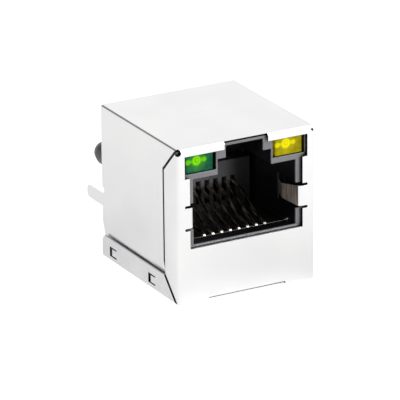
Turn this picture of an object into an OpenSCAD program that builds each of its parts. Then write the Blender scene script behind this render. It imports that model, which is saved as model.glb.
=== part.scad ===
// Top-entry RJ45 board jack: folded metal case, two indicator lamps, magnetics under the port.
// Modules are drawn in the case frame: X across the port, Y from the port face to the board,
// Z up from the outside of the cover. The last step moves the origin to the board face,
// midway between the two locating pegs.

/* [Case] */
// Width over the side panels
case_w = 16; // [15.9:0.1:17]
// Depth from the port face to the board
case_d = 16.65; // [16.4:0.05:18]
// Height over the top panel
case_h = 16.76; // [16.7:0.02:17.4]

/* [Sheet metal] */
// Thickness of both sheets
sheet_t = 0.2; // [0.15:0.01:0.25]
// Outside radius of the bends
bend_r = 0.35; // [0.3:0.01:0.45]
// Width of the seam around the front flaps
seam_w = 0.3; // [0.1:0.01:0.3]
// Length of the front flaps along the sides
flap_l = 2.81; // [2.2:0.01:3.2]
// Height of the flaps' lower corner
flap_low = 2.7; // [2.4:0.01:3]
// Depth of the flaps' upper corner below the top panel
flap_drop = 2.89; // [2.7:0.01:3.2]
// Radius of the corner relief between top, side and front
relief_r = 0.36; // [0.25:0.01:0.4]
// Gap between the shell's rear edge and the board
shell_lift = 0.15; // [0.05:0.01:0.3]
// Gap between the cover's rear edge and the board
cover_lift = 0.15; // [0.05:0.01:0.3]
// Outside radius of the cover's bends
cover_r = 0.28; // [0.26:0.01:0.4]
// How far the cover's flanges stand out past the side panels
cover_proud = 0.08; // [0.02:0.01:0.1]
// Height of the cover's side flanges
flange_h = 2.47; // [2.2:0.01:2.5]
// Gap between the flange and the shell's tucked-in lip
lip_gap = 0.04; // [0.02:0.01:0.08]
// Height where the side panel starts to turn in
jog_high = 4; // [3.6:0.1:4.4]
// Height where the tucked-in lip is straight again
jog_low = 2.5; // [2.3:0.05:2.6]

/* [Port] */
// Half width of the port cavity
port_x = 5.95; // [5.9:0.01:6.05]
// Depth of the port floor below the top panel
floor_drop = 10.59; // [10.4:0.01:10.65]
// Depth of the port ceiling below the top panel
ceiling_drop = 3.56; // [3.5:0.01:3.65]
// Depth of the port's rear wall
port_back = 11.2; // [11:0.05:11.5]
// Half width of the latch channel
latch_x = 3.1; // [3.05:0.01:3.12]
// Half width of the narrow slot over the latch catch
latch_slot_x = 2.15; // [1.9:0.01:2.3]
// Depth of the latch catch below the top panel
catch_drop = 1.91; // [1.8:0.01:2.1]
// Depth of the latch channel's ceiling below the top panel
channel_drop = 0.61; // [0.56:0.01:0.75]
// Thickness of the catch behind the housing's front
catch_t = 1; // [0.8:0.05:1.3]
// Depth of the latch channel
latch_back = 9.6; // [9:0.1:10]

/* [Front openings] */
// Half width of the shell's port opening
cut_x = 6.55; // [6.4:0.01:6.6]
// Depth of the opening's lower edge below the top panel
cut_drop = 10.86; // [10.8:0.01:11]
// Depth of the lamp windows' lower edge below the top panel
sill_drop = 3.26; // [3.2:0.01:3.35]
// Depth of the lamp windows' upper edge below the top panel
lintel_drop = 0.86; // [0.8:0.01:1]
// Half width across both lamp windows
window_x = 7.12; // [7.05:0.01:7.2]
// Half width of the shell's latch notch
notch_x = 2.53; // [2.4:0.01:2.8]
// Half width of the shallow notch in the front panel's lower edge
foot_notch_x = 4.47; // [4:0.01:5]
// Height of that notch
foot_notch_h = 0.25; // [0.15:0.01:0.4]

/* [Ground fingers] */
// Depth of the finger's middle below the top panel
finger_drop = 7.49; // [7.2:0.01:7.7]
// Height of the finger
finger_h = 2.18; // [1.8:0.01:2.3]
// Width of the slots above and below a finger
slot_w = 0.28; // [0.2:0.01:0.3]
// Half distance between the slots' outer ends
slot_x = 7; // [6.9:0.01:7.05]
// Height of the finger at its closest point
finger_tip_h = 1.6; // [1.2:0.01:1.7]
// Half distance between the fingers where they come closest
finger_x = 5.5; // [5.4:0.01:5.6]
// Depth of the finger's closest point
finger_y = 2.4; // [2.2:0.01:2.8]

/* [Board fixing] */
// Radius of the locating pegs
peg_r = 1.3; // [1.2:0.01:1.5]
// Radius of the peg's end
peg_end_r = 1.05; // [0.8:0.01:1.15]
// Distance between the pegs
peg_pitch = 11.43; // [11.2:0.01:11.6]
// Height of the pegs above the cover
peg_z = 10; // [9.8:0.01:10.4]
// Length of the pegs below the board face
peg_l = 4; // [3:0.1:4.2]
// Length of the peg's tapered end
peg_tip = 0.9; // [0.5:0.05:1.2]
// Height of the shield legs' middle
leg_z = 6.28; // [6:0.01:6.5]
// Width of the shield legs
leg_w = 1.35; // [1:0.01:1.5]
// Length of the shield legs below the board face
leg_l = 3.3; // [2.5:0.05:3.6]
// Chamfer of the shield leg tips
leg_tip = 0.3; // [0.2:0.01:0.4]

/* [Lamps] */
// Width of a lamp
lamp_w = 3.15; // [3:0.01:3.2]
// Height of a lamp
lamp_h = 2.48; // [2.2:0.01:2.52]
// Length of a lamp
lamp_l = 6.5; // [5.5:0.1:7.5]
// Distance of a lamp's middle from the jack's middle
lamp_x = 5.175; // [5.12:0.005:5.23]
// Depth of the lamp fronts behind the port face
lamp_front = 0.5; // [0.4:0.01:0.7]
// Clearance under a lamp
lamp_gap = 0.05; // [0.02:0.01:0.1]
// Thickness of the wall between the latch channel and a lamp pocket
pocket_wall = 0.2; // [0.15:0.01:0.25]
// Half distance across both lamp pockets
pocket_x = 7; // [6.95:0.01:7.1]
// Distance between a lamp's two leads
lead_pitch = 2.29; // [2.2:0.01:2.4]
// Width of a lead
lead_w = 0.45; // [0.4:0.01:0.5]
// Length of the leads below the board face
lead_tail = 2.4; // [2:0.1:2.8]

/* [Contacts] */
// Distance between contacts
pitch = 1.016; // [1:0.002:1.03]
// Width of a contact
contact_w = 0.4; // [0.3:0.01:0.45]
// Thickness of a contact
contact_t = 0.3; // [0.2:0.01:0.32]
// Depth of the hairpin bend
hairpin_y = 2.5; // [2.4:0.01:2.8]
// Depth of the front face of the comb
comb_y = 9.35; // [9.2:0.05:9.6]
// Height of the comb
comb_h = 5.1; // [4.6:0.05:5.4]
// Width of a comb slot
comb_slot = 0.56; // [0.5:0.01:0.65]

/* [Magnetics] */
// Gap between neighbouring coils
coil_gap = 0.195; // [0.15:0.005:0.3]
// Thickness of a winding
winding_t = 0.22; // [0.15:0.01:0.24]
// Thickness of the circuit board
pcb_t = 0.8; // [0.6:0.05:0.85]
// Thickness of the tray floor
tray_floor = 0.4; // [0.3:0.05:0.5]
// Thickness of the tray walls
tray_wall = 0.5; // [0.4:0.01:0.52]
// Radius of a signal pin
pin_r = 0.25; // [0.2:0.01:0.3]
// Distance between neighbouring signal pins
pin_pitch = 1.27; // [1.2:0.01:1.3]
// Distance between the two rows of signal pins
row_pitch = 2.54; // [2.4:0.01:2.6]
// Length of the signal pins below the board face
pin_tail = 3.2; // [2.5:0.1:3.5]

/* [Hidden] */
$fn = 64;
fit = 0.05;           // clearance between moulded and folded pieces
over = 1;             // how far a cutter runs past what it cuts
contact_count = 8;
coil_count = 8;
pin_count = 10;
resistor_count = 4;

// Case
side_x = case_w / 2;
lip_x = side_x - sheet_t - lip_gap;
lip_z = sheet_t + 0.1;
shell_back = case_d - shell_lift;
cover_back = case_d - cover_lift;
cover_front = sheet_t + 0.25;
front_z = 0.05;
notch_top = case_h - 0.04;
flap_high = case_h - flap_drop;
cut_low = case_h - cut_drop;
window_low = case_h - sill_drop;
window_high = case_h - lintel_drop;
finger_z = case_h - finger_drop;
cover_x = side_x + cover_proud;
corner_cut = 0.5;     // cut at the flange's rear top corner

// Lances that lock the cover: where each starts, its size, its gap and how far it is pushed in
lance_starts = [4.9, case_d - 3.25];
lance_l = 1.5;
lance_h = 1.05;
lance_z = 1.08;
lance_gap = 0.16;
lance_slit = 0.15;
lance_push = cover_proud + sheet_t + lip_gap;

// Housing
port_floor = case_h - floor_drop;
port_ceiling = case_h - ceiling_drop;
latch_catch = case_h - catch_drop;
latch_ceiling = case_h - channel_drop;
housing_x = side_x - sheet_t - fit;
foot_x = lip_x - sheet_t - fit;
housing_top = case_h - sheet_t - 0.11;
housing_bottom = sheet_t + fit;
housing_front = sheet_t + 0.2;
housing_back = case_d - 0.25;
peg_x = peg_pitch / 2;
peg_shoulder = peg_r + 0.3;
bay_x = foot_x - 0.56;             // half width of the bay below the port
bay_front = housing_front + 1.1;
bay_roof = port_floor - 0.52;
sill_back = 2.1;                   // rear edge of the port's front sill
floor_x = port_x - 0.3;            // half width of the hole that the contact block fills
core_out = 1.1;                    // wall left around the housing's rear recesses

// Lamps
lamp_cover = 0.1;                  // from a lamp's top to the housing's top
lamp_z = housing_top - lamp_cover - lamp_h;
lead_z = lamp_z + lamp_h / 2;
lamp_back = lamp_front + lamp_l;
lead_start = lamp_front + 1.5;
cup_r = 0.7;
cup_l = 0.9;
arm_t = 0.5;

// Magnetics tray: its inside is shared by the coils, the chips and the pins
tray_z = housing_bottom + fit;
tray_x = bay_x - 0.1;
tray_front = bay_front + 0.1;
tray_in = tray_front + tray_wall;  // front of the tray's inside
inner_x = tray_x - tray_wall;      // half width of the tray's inside
bay_l = case_d - tray_in;
coil_z = tray_z + tray_floor;
coil_pitch = inner_x / 2;
coil_r = (coil_pitch - coil_gap) / 2;
coil_rows = [tray_in + bay_l * 0.125, tray_in + bay_l * 0.375];
coil_wall = tray_in + bay_l * 0.25;
winding_angle = 300;
dock_y = case_d - bay_l * 0.27;    // front of the thick rear part that holds the pins
pin_y = dock_y - bay_l * 0.05;
chip_y = dock_y - bay_l * 0.16;

// Circuit board, contact block and contacts, stacked between the coils and the roof of the bay
block_roof = bay_roof - fit;
stack_h = block_roof - coil_z - pcb_t;
block_floor = block_roof - stack_h * 0.25;
pcb_top = block_floor - stack_h * 0.15;
pcb_z = pcb_top - pcb_t;
pcb_x = bay_x - 0.15;
pcb_front = bay_front + 0.2;
pcb_back = dock_y - 0.1;
block_x = bay_x - 0.1;
block_front = bay_front + 0.1;
block_back = comb_y + 1.95;
pad_top = block_roof + 0.2;
comb_back = port_back - fit;
comb_top = pad_top + comb_h;
comb_bar = 1.75;                   // bar over the comb slots, above the contact tips
run_z = block_roof - stack_h * 0.11;   // middle of the contacts' buried run
beam_z = pad_top + 0.17;           // middle of the contacts where the beam starts
hairpin_r = (beam_z - run_z) * 0.48;
leg_rows = [tray_in + bay_l * 0.31, tray_in + bay_l * 0.43];
tail_out = stack_h * 0.085;        // how far tails stand out past the circuit board
hole_gap = 0.1;

// Coils, chips and pins
core_or = coil_r - winding_t;
core_ir = core_or / 2;
core_h = stack_h * 0.415 - 2 * winding_t;
pin_bend = 0.4;
pin_point = 0.3;
pin_low_z = (bay_roof + tray_z - row_pitch) / 2 + 0.295;
pin_high_z = pin_low_z + row_pitch;
dock_top = block_roof - 0.2;
resistor_size = [0.8, 1.6, 0.45];
resistor_x = [for (end = [-1, 1], share = [0.55, 0.8]) end * share * inner_x];
capacitor_size = [0.7 * inner_x, 0.14 * bay_l, 0.34 * stack_h];

// ---------- helpers ----------

// Moves a piece from the case frame to the part's own frame.
module place() {
    translate([0, -case_d, -peg_z]) children();
}

// A box between two corners, given as one range for each axis.
module block(x, y, z) {
    translate([x[0], y[0], z[0]]) cube([x[1] - x[0], y[1] - y[0], z[1] - z[0]]);
}

// A flat rectangle between two ranges.
module patch(x, y) {
    translate([x[0], y[0]]) square([x[1] - x[0], y[1] - y[0]]);
}

// Extrusions of a flat shape along each axis, from one place to another.
module along_x(from, to) {
    translate([from, 0, 0]) rotate([90, 0, 90]) linear_extrude(to - from) children();
}
module along_y(from, to) {
    translate([0, to, 0]) rotate([90, 0, 0]) linear_extrude(to - from) children();
}
module along_z(from, to) {
    translate([0, 0, from]) linear_extrude(to - from) children();
}

// A piece and its mirror image on the other side of the jack.
module both_sides() {
    children();
    mirror([1, 0, 0]) children();
}

// Quarter ring of a sheet bent at outside radius r, in the first quadrant.
module bend_2d(r) {
    difference() {
        intersection() {
            circle(r);
            square(r);
        }
        circle(r - sheet_t);
    }
}

function unit(v) = v / norm(v);
function turned(v) = [-v[1], v[0]];

// Points of an arc of radius r that rounds the corner b between a and c.
function rounded(a, b, c, r) =
    let (u = unit(a - b), w = unit(c - b),
         half = acos(u * w) / 2,
         centre = b + unit(u + w) * r / sin(half),
         first = b + u * r / tan(half) - centre,
         last = b + w * r / tan(half) - centre,
         start = atan2(first[1], first[0]),
         sweep = (atan2(last[1], last[0]) - start + 900) % 360 - 180)
    [for (i = [0 : 8]) centre + r * [cos(start + sweep * i / 8), sin(start + sweep * i / 8)]];

// A path through way points, with one corner radius for each inner point.
function path(points, radii) =
    [points[0],
     for (i = [1 : len(points) - 2]) each rounded(points[i - 1], points[i], points[i + 1], radii[i - 1]),
     points[len(points) - 1]];

// Outline of a strip of thickness t along a path.
function strip(line, t) =
    let (n = len(line),
         side = [for (i = [0 : n - 1])
             turned(unit(line[min(i + 1, n - 1)] - line[max(i - 1, 0)])) * t / 2])
    concat([for (i = [0 : n - 1]) line[i] + side[i]],
           [for (i = [n - 1 : -1 : 0]) line[i] - side[i]]);

// ---------- folded case ----------

// Side view (Y, Z) of the front flaps, grown by g along every edge.
function flap_outline(g) =
    let (end = flap_l + g, slant = g * sqrt(2))
    [[-over, flap_low - flap_l - over - slant],
     [end, flap_low + g - slant],
     [end, flap_high - g + slant],
     [-over, flap_high + flap_l + over + slant]];

// Top and side panels in front view (X, Z): the sides turn in behind the cover's flanges.
module hood_2d() {
    patch([bend_r - side_x, side_x - bend_r], [case_h - sheet_t, case_h]);
    both_sides() {
        translate([side_x - bend_r, case_h - bend_r]) bend_2d(bend_r);
        polygon([
            [side_x, case_h - bend_r], [side_x, jog_high], [lip_x, jog_low], [lip_x, lip_z],
            [lip_x - sheet_t, lip_z], [lip_x - sheet_t, jog_low],
            [side_x - sheet_t, jog_high], [side_x - sheet_t, case_h - bend_r]]);
    }
}

// Front panel and flaps in top view (X, Y).
module front_2d() {
    patch([bend_r - side_x, side_x - bend_r], [0, sheet_t]);
    both_sides() {
        translate([side_x - bend_r, bend_r]) mirror([0, 1]) bend_2d(bend_r);
        patch([side_x - sheet_t, side_x], [bend_r, flap_l]);
    }
}

// Openings of the front panel in front view (X, Z).
module front_opening_2d() {
    patch([-cut_x, cut_x], [cut_low, window_low]);
    patch([-window_x, window_x], [window_low, window_high]);
    patch([-notch_x, notch_x], [window_high, notch_top]);
    patch([-foot_notch_x, foot_notch_x], [front_z - over, front_z + foot_notch_h]);
    both_sides() for (end = [-1, 1]) {
        z = finger_z + end * (finger_h + slot_w) / 2;
        patch([cut_x - fit, slot_x], [z - slot_w / 2, z + slot_w / 2]);
        translate([slot_x, z]) circle(slot_w / 2);
    }
}

// Ground finger in top view (X, Y): in from the panel, back along the port, then clear of the plug.
module finger_2d() {
    mid = sheet_t / 2;
    way = [[cut_x + mid, mid], [finger_x + 0.75, mid], [finger_x + mid, finger_y],
           [finger_x + 0.5, finger_y + 1.3]];
    polygon(strip(path(way, [0.3, 0.8]), sheet_t));
}

// Finger in side view (Y, Z): it narrows towards its closest point.
module finger_side_2d() {
    root = finger_h / 2;
    tip = finger_tip_h / 2;
    end = finger_y + 1.5;
    polygon([
        [-over, finger_z - root], [bend_r, finger_z - root], [finger_y, finger_z - tip],
        [end, finger_z - tip], [end, finger_z + tip], [finger_y, finger_z + tip],
        [bend_r, finger_z + root], [-over, finger_z + root]]);
}

// Shield leg in side view (Y, Z).
module leg_2d() {
    tip = case_d + leg_l;
    polygon([
        [shell_back - over, leg_z - leg_w / 2], [tip - leg_tip, leg_z - leg_w / 2],
        [tip, leg_z - leg_w / 2 + leg_tip], [tip, leg_z + leg_w / 2 - leg_tip],
        [tip - leg_tip, leg_z + leg_w / 2], [shell_back - over, leg_z + leg_w / 2]]);
}

// Places of the lances along the flanges, each drawn with `grow` around it.
module lance_windows(x, grow) {
    both_sides() for (start = lance_starts)
        block(x, [start - grow, start + lance_l + grow],
            [lance_z - lance_h / 2 - grow, lance_z + lance_h / 2 + grow]);
}

module main_shell() {
    relief = 0.4;    // radius of the notch above each leg
    color("gainsboro") place() difference() {
        union() {
            difference() {
                along_y(bend_r, shell_back) hood_2d();
                both_sides() along_x(lip_x - sheet_t - fit, side_x + over)
                    polygon(flap_outline(seam_w));
            }
            intersection() {
                along_z(front_z, case_h - bend_r) front_2d();
                along_x(-side_x - over, side_x + over) polygon(flap_outline(0));
            }
            along_x(bend_r - side_x, side_x - bend_r)
                translate([bend_r, case_h - bend_r]) mirror([1, 0]) bend_2d(bend_r);
            both_sides() along_x(side_x - sheet_t, side_x) leg_2d();
        }
        along_y(-over, bend_r + fit) front_opening_2d();
        both_sides() {
            translate([side_x - bend_r / 2, bend_r / 2, case_h - bend_r]) sphere(relief_r);
            along_x(side_x - sheet_t - fit, side_x + over)
                translate([shell_back, leg_z + leg_w / 2 + relief]) circle(relief);
        }
        lance_windows([lip_x - sheet_t - fit, lip_x + fit], fit);
    }
    color("gainsboro") place() both_sides() intersection() {
        along_z(finger_z - finger_h / 2, finger_z + finger_h / 2) finger_2d();
        along_x(0, side_x) finger_side_2d();
    }
}

// Cover in front view (X, Z).
module cover_2d() {
    patch([cover_r - cover_x, cover_x - cover_r], [0, sheet_t]);
    both_sides() {
        translate([cover_x - cover_r, cover_r]) mirror([0, 1]) bend_2d(cover_r);
        patch([cover_x - sheet_t, cover_x], [cover_r, flange_h]);
    }
}

// One lance in top view (X, Y): flush at first, then its end steps in behind the lip of the shell.
module lance_2d() {
    mid = cover_x - sheet_t / 2;
    end = lance_l - lance_gap;
    way = [[mid, -fit], [mid, end * 0.72], [mid - lance_push, end * 0.88], [mid - lance_push, end]];
    polygon(strip(path(way, [0.15, 0.15]), sheet_t));
}

module cover() {
    color("lightgray") place() {
        difference() {
            along_y(cover_front, cover_back) cover_2d();
            both_sides() {
                along_x(cover_x - cover_r - sheet_t, cover_x + over) polygon(flap_outline(seam_w));
                along_x(cover_x - sheet_t - fit, cover_x + over) polygon([
                    [cover_back - corner_cut, flange_h + fit], [cover_back + fit, flange_h + fit],
                    [cover_back + fit, flange_h - corner_cut]]);
            }
            lance_windows([cover_x - sheet_t - fit, cover_x + over], 0);
        }
        both_sides() for (start = lance_starts) translate([0, start, 0])
            along_z(lance_z - lance_h / 2 + lance_slit, lance_z + lance_h / 2 - lance_slit) lance_2d();
    }
}

// ---------- housing ----------

// Outside of the housing in front view (X, Z).
module housing_2d() {
    polygon([
        [-housing_x, housing_top], [housing_x, housing_top], [housing_x, jog_high],
        [foot_x, jog_low], [foot_x, housing_bottom], [-foot_x, housing_bottom],
        [-foot_x, jog_low], [-housing_x, jog_high]]);
}

// Port, latch channel, lamp pockets and finger recesses, all open at the front.
module port_cavities() {
    mouth = housing_front - over;
    block([-port_x, port_x], [mouth, port_back], [port_floor, port_ceiling]);
    block([-latch_x, latch_x], [mouth, latch_back], [port_ceiling - fit, latch_catch]);
    block([-latch_slot_x, latch_slot_x], [mouth, latch_back], [latch_catch - fit, latch_ceiling]);
    block([-latch_x, latch_x], [housing_front + catch_t, latch_back],
        [latch_catch - fit, latch_ceiling]);
    both_sides() {
        block([latch_x + pocket_wall, pocket_x], [mouth, lamp_back + fit],
            [lamp_z - lamp_gap, housing_top + over]);
        for (x = lead_places()) block([x - lead_w / 2 - fit, x + lead_w / 2 + fit],
            [lamp_back, housing_back + over], [lead_z - lead_w / 2, housing_top + over]);
        block([port_x - fit, cut_x + 0.25], [mouth, finger_y + 1.65],
            [finger_z - finger_h / 2 - slot_w, finger_z + finger_h / 2 + slot_w]);
    }
}

module housing() {
    rear = housing_back + over;
    color("#1b1b1d") place() {
        difference() {
            union() {
                along_y(housing_front, housing_back) housing_2d();
                both_sides() {
                    translate([peg_x, housing_back - over, peg_z]) rotate([-90, 0, 0])
                        cylinder(r = peg_shoulder, h = case_d - housing_back + over);
                    block([lamp_x - 0.7, lamp_x + 0.7], [housing_back - over, case_d],
                        [port_ceiling + 0.2, lead_z - 0.5]);
                }
            }
            port_cavities();
            block([-bay_x, bay_x], [bay_front, rear], [-over, bay_roof]);
            block([-floor_x, floor_x], [sill_back, port_back], [bay_roof - fit, port_floor + fit]);
            block([peg_shoulder + 0.4 - peg_x, peg_x - peg_shoulder - 0.4], [port_back + core_out, rear],
                [bay_roof + core_out, port_ceiling]);
            block([0.2 - latch_x, latch_x - 0.2], [latch_back + core_out, rear],
                [port_ceiling + core_out / 2, latch_ceiling]);
        }
        both_sides() translate([peg_x, case_d - fit, peg_z]) rotate([-90, 0, 0]) {
            cylinder(r = peg_r, h = peg_l - peg_tip + fit);
            translate([0, 0, peg_l - peg_tip + fit]) cylinder(r1 = peg_r, r2 = peg_end_r, h = peg_tip);
        }
    }
}

// ---------- contacts ----------

function contact_x(k) = (k - (contact_count - 1) / 2) * pitch;

// One contact in side view (Y, Z): tail, buried run, hairpin, sprung beam and tip.
function contact_line(k) =
    let (leg = leg_rows[k % 2])
    path([[leg, pcb_z - tail_out], [leg, run_z], [hairpin_y, run_z], [hairpin_y, beam_z],
          [hairpin_y + 2.2, beam_z + 0.6], [hairpin_y + 5.1, beam_z + 2.2],
          [comb_y + 1.25, beam_z + 2.95]],
         [hairpin_r, hairpin_r, hairpin_r, 3, 3]);

module contact(k) {
    color("goldenrod") place()
        along_x(contact_x(k) - contact_w / 2, contact_x(k) + contact_w / 2)
            polygon(strip(contact_line(k), contact_t));
}

// The block is moulded around the buried runs, so it is cut by the contacts themselves.
module contact_block() {
    slot_low = pad_top + 0.8;
    color("#26262a") difference() {
        place() {
            block([-block_x, block_x], [block_front, block_back], [block_floor, block_roof]);
            block([fit - floor_x, floor_x - fit], [sill_back + fit, comb_back],
                [block_roof - fit, pad_top]);
            difference() {
                block([fit - floor_x, floor_x - fit], [comb_y, comb_back], [pad_top - fit, comb_top]);
                for (k = [0 : contact_count - 1])
                    block([contact_x(k) - comb_slot / 2, contact_x(k) + comb_slot / 2],
                        [comb_y - over, comb_back - 0.25], [slot_low, comb_top - comb_bar]);
            }
            both_sides() for (y = [block_front + 0.2, block_back - 1])
                block([block_x - 0.9, block_x - 0.1], [y, y + 0.8], [pcb_top, block_floor + fit]);
        }
        for (k = [0 : contact_count - 1]) contact(k);
    }
}

// ---------- lamps ----------

// Places of a lamp's two leads across the right half of the jack: inner, then outer.
function lead_places() = [lamp_x - lead_pitch / 2, lamp_x + lead_pitch / 2];

module lead_bar(x) {
    block([x - lead_w / 2, x + lead_w / 2], [lead_start, case_d + lead_tail],
        [lead_z - lead_w / 2, lead_z + lead_w / 2]);
}

// The outer lead of each lamp carries an arm with the reflector cup.
module cup_lead() {
    outer = lead_places()[1];
    lead_bar(outer);
    difference() {
        union() {
            block([lamp_x, outer], [lead_start, lead_start + arm_t],
                [lead_z - lead_w / 2, lead_z + lead_w / 2]);
            translate([lamp_x, lead_start - cup_l / 2, lead_z]) rotate([-90, 0, 0])
                cylinder(r = cup_r, h = cup_l);
        }
        translate([lamp_x, lead_start - cup_l / 2, lead_z]) rotate([-90, 0, 0])
            translate([0, 0, -fit]) cylinder(r1 = cup_r - 0.1, r2 = cup_r / 2, h = cup_l / 2 + fit);
    }
}

module lens() {
    difference() {
        block([lamp_x - lamp_w / 2, lamp_x + lamp_w / 2], [lamp_front, lamp_back],
            [lamp_z, lamp_z + lamp_h]);
        lead_bar(lead_places()[0]);
        cup_lead();
    }
}

module left_side() {
    mirror([1, 0, 0]) children();
}

module led_green() {
    color("#16904a") place() left_side() lens();
}
module led_green_anode() {
    color("silver") place() left_side() lead_bar(lead_places()[0]);
}
module led_green_cathode() {
    color("silver") place() left_side() cup_lead();
}
module led_yellow() {
    color("#b9a800") place() lens();
}
module led_yellow_anode() {
    color("silver") place() lead_bar(lead_places()[0]);
}
module led_yellow_cathode() {
    color("silver") place() cup_lead();
}

// ---------- circuit board and magnetics ----------

function coil_x(k) = (k % 4 - 1.5) * coil_pitch;
function coil_y(k) = coil_rows[floor(k / 4)];
function pin_x(k) = (k - (pin_count - 1) / 2) * pin_pitch;

module circuit_board() {
    hole = norm([contact_w, contact_t]) / 2 + hole_gap;
    color("darkgreen") place() difference() {
        block([-pcb_x, pcb_x], [pcb_front, pcb_back], [pcb_z, pcb_top]);
        for (k = [0 : contact_count - 1]) translate([contact_x(k), leg_rows[k % 2], pcb_z - over])
            cylinder(r = hole, h = pcb_t + 2 * over);
        for (k = [0 : pin_count - 1]) translate([pin_x(k), pin_y, pcb_z - over])
            cylinder(r = pin_r + hole_gap, h = pcb_t + 2 * over);
    }
}

// Section of a ferrite ring, to be turned about its axis.
module core_2d() {
    patch([core_ir, core_or], [winding_t, winding_t + core_h]);
}

module core(k) {
    color("#4a4a4e") place() translate([coil_x(k), coil_y(k), coil_z]) rotate_extrude() core_2d();
}

// The turns of enamelled wire lie around the ring for most of its circle.
module winding(k) {
    color("#b8642a") place() translate([coil_x(k), coil_y(k), coil_z])
        rotate([0, 0, 120]) rotate_extrude(angle = winding_angle) difference() {
            patch([core_ir - winding_t, coil_r], [0, core_h + 2 * winding_t]);
            core_2d();
        }
}

module resistor(k) {
    color("#303034") place() translate([resistor_x[k], chip_y, pcb_z - resistor_size[2] / 2])
        cube(resistor_size, center = true);
}

module capacitor() {
    color("#c9a77a") place() translate([0, chip_y, pcb_z - capacitor_size[2] / 2])
        cube(capacitor_size, center = true);
}

// Straight run of a signal pin, from the circuit board end to past the board face.
module pin_run(k) {
    z = k % 2 == 0 ? pin_low_z : pin_high_z;
    end = case_d + pin_tail - pin_point;
    translate([pin_x(k), pin_y + pin_bend, z]) rotate([-90, 0, 0])
        cylinder(r = pin_r, h = end - pin_y - pin_bend);
}

// Pins of the low row turn up into the circuit board and pins of the high row turn down.
module signal_pin(k) {
    low = k % 2 == 0;
    z = low ? pin_low_z : pin_high_z;
    reach = low ? pcb_top + tail_out - z : z - pcb_z + tail_out;
    color("silver") place() {
        pin_run(k);
        translate([pin_x(k), case_d + pin_tail - pin_point, z]) rotate([-90, 0, 0])
            cylinder(r1 = pin_r, r2 = pin_r / 2, h = pin_point);
        translate([pin_x(k), pin_y, z]) mirror([0, 0, low ? 0 : 1]) {
            translate([0, pin_bend, pin_bend]) mirror([0, 1, 0]) rotate([0, 90, 0])
                rotate_extrude(angle = 90) translate([pin_bend, 0]) circle(pin_r);
            translate([0, 0, pin_bend]) cylinder(r = pin_r, h = reach - pin_bend);
        }
    }
}

// The tray is moulded around the pins, so it is cut by the pins themselves.
module magnetics_tray() {
    color("#2c2c30") difference() {
        place() {
            difference() {
                block([-tray_x, tray_x], [tray_front, housing_back], [tray_z, pcb_z]);
                block([-inner_x, inner_x], [tray_in, dock_y], [coil_z, pcb_z + over]);
            }
            block([-tray_x, tray_x], [dock_y, housing_back], [tray_z, dock_top]);
            block([-inner_x, inner_x], [coil_wall - 0.1, coil_wall + 0.1],
                [coil_z - fit, coil_z + core_h]);
            both_sides() block([tray_x - 1.4, tray_x - 0.2], [housing_back - fit, case_d],
                [tray_z + 0.5, tray_z + 1.5]);
        }
        for (k = [0 : pin_count - 1]) signal_pin(k);
    }
}

main_shell();
cover();
housing();
contact_block();
for (k = [0 : contact_count - 1])
    contact(k);
led_green();
led_green_anode();
led_green_cathode();
led_yellow();
led_yellow_anode();
led_yellow_cathode();
circuit_board();
magnetics_tray();
for (k = [0 : coil_count - 1]) {
    core(k);
    winding(k);
}
for (k = [0 : resistor_count - 1])
    resistor(k);
capacitor();
for (k = [0 : pin_count - 1])
    signal_pin(k);
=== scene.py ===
# %% [markdown]
# # Dressing a top-entry board jack
# A board jack is a small metal box with a plug port in front. The CAD model gives every piece its
# true size and place. This lesson gives the pieces rounded edges, real turns of wire and finishes.
# Each new piece takes its place from the CAD piece that it stands for.

import math

import bpy
from mathutils import Matrix, Vector


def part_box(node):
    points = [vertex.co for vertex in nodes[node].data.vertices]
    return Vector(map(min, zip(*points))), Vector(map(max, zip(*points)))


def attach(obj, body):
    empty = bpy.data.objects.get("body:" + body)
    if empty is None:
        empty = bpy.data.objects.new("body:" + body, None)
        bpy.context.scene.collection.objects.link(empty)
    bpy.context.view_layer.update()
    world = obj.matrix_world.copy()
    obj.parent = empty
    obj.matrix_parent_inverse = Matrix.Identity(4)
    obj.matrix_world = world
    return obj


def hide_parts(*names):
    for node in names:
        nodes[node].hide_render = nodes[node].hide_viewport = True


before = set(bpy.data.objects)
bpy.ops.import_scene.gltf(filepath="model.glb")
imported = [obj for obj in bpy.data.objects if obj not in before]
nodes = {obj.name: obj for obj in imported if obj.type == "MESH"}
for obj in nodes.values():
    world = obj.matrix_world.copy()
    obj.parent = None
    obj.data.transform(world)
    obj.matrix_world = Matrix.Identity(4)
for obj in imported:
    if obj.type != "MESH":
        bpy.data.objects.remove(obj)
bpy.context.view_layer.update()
MM = 0.001
print("CAD pieces:", len(nodes))

# %% [markdown]
# ## Camera
# The jack lies on its cover, so +Z is up and the port looks along -Y. The camera stands to the left
# of the port and a little above it, rolled by about half a degree. It could be turned by a constraint
# that tracks a target. Here its three directions are worked out and put into one matrix, because that
# keeps the roll and the two small shifts exact. The lens is long, which keeps parallel edges nearly
# parallel.

# %% Place the camera
AZIMUTH, ELEVATION, ROLL = math.radians(-28.5816), math.radians(20.3953), math.radians(-0.58347)
AIM = Vector((0, -8.3646 * MM, -1.61895 * MM))  # close to the middle of the case
DISTANCE, SHIFT_RIGHT, SHIFT_UP = 423.063 * MM, 0.777428 * MM, 0.955107 * MM
SENSOR_WIDTH_MM, FOCAL_LENGTH_MM = 36, 368.54

back = Vector((math.sin(AZIMUTH) * math.cos(ELEVATION),
               -math.cos(AZIMUTH) * math.cos(ELEVATION), math.sin(ELEVATION)))
level = Vector((math.cos(AZIMUTH), math.sin(AZIMUTH), 0))
upright = back.cross(level)
right = math.cos(ROLL) * level + math.sin(ROLL) * upright
up = math.cos(ROLL) * upright - math.sin(ROLL) * level

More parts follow.
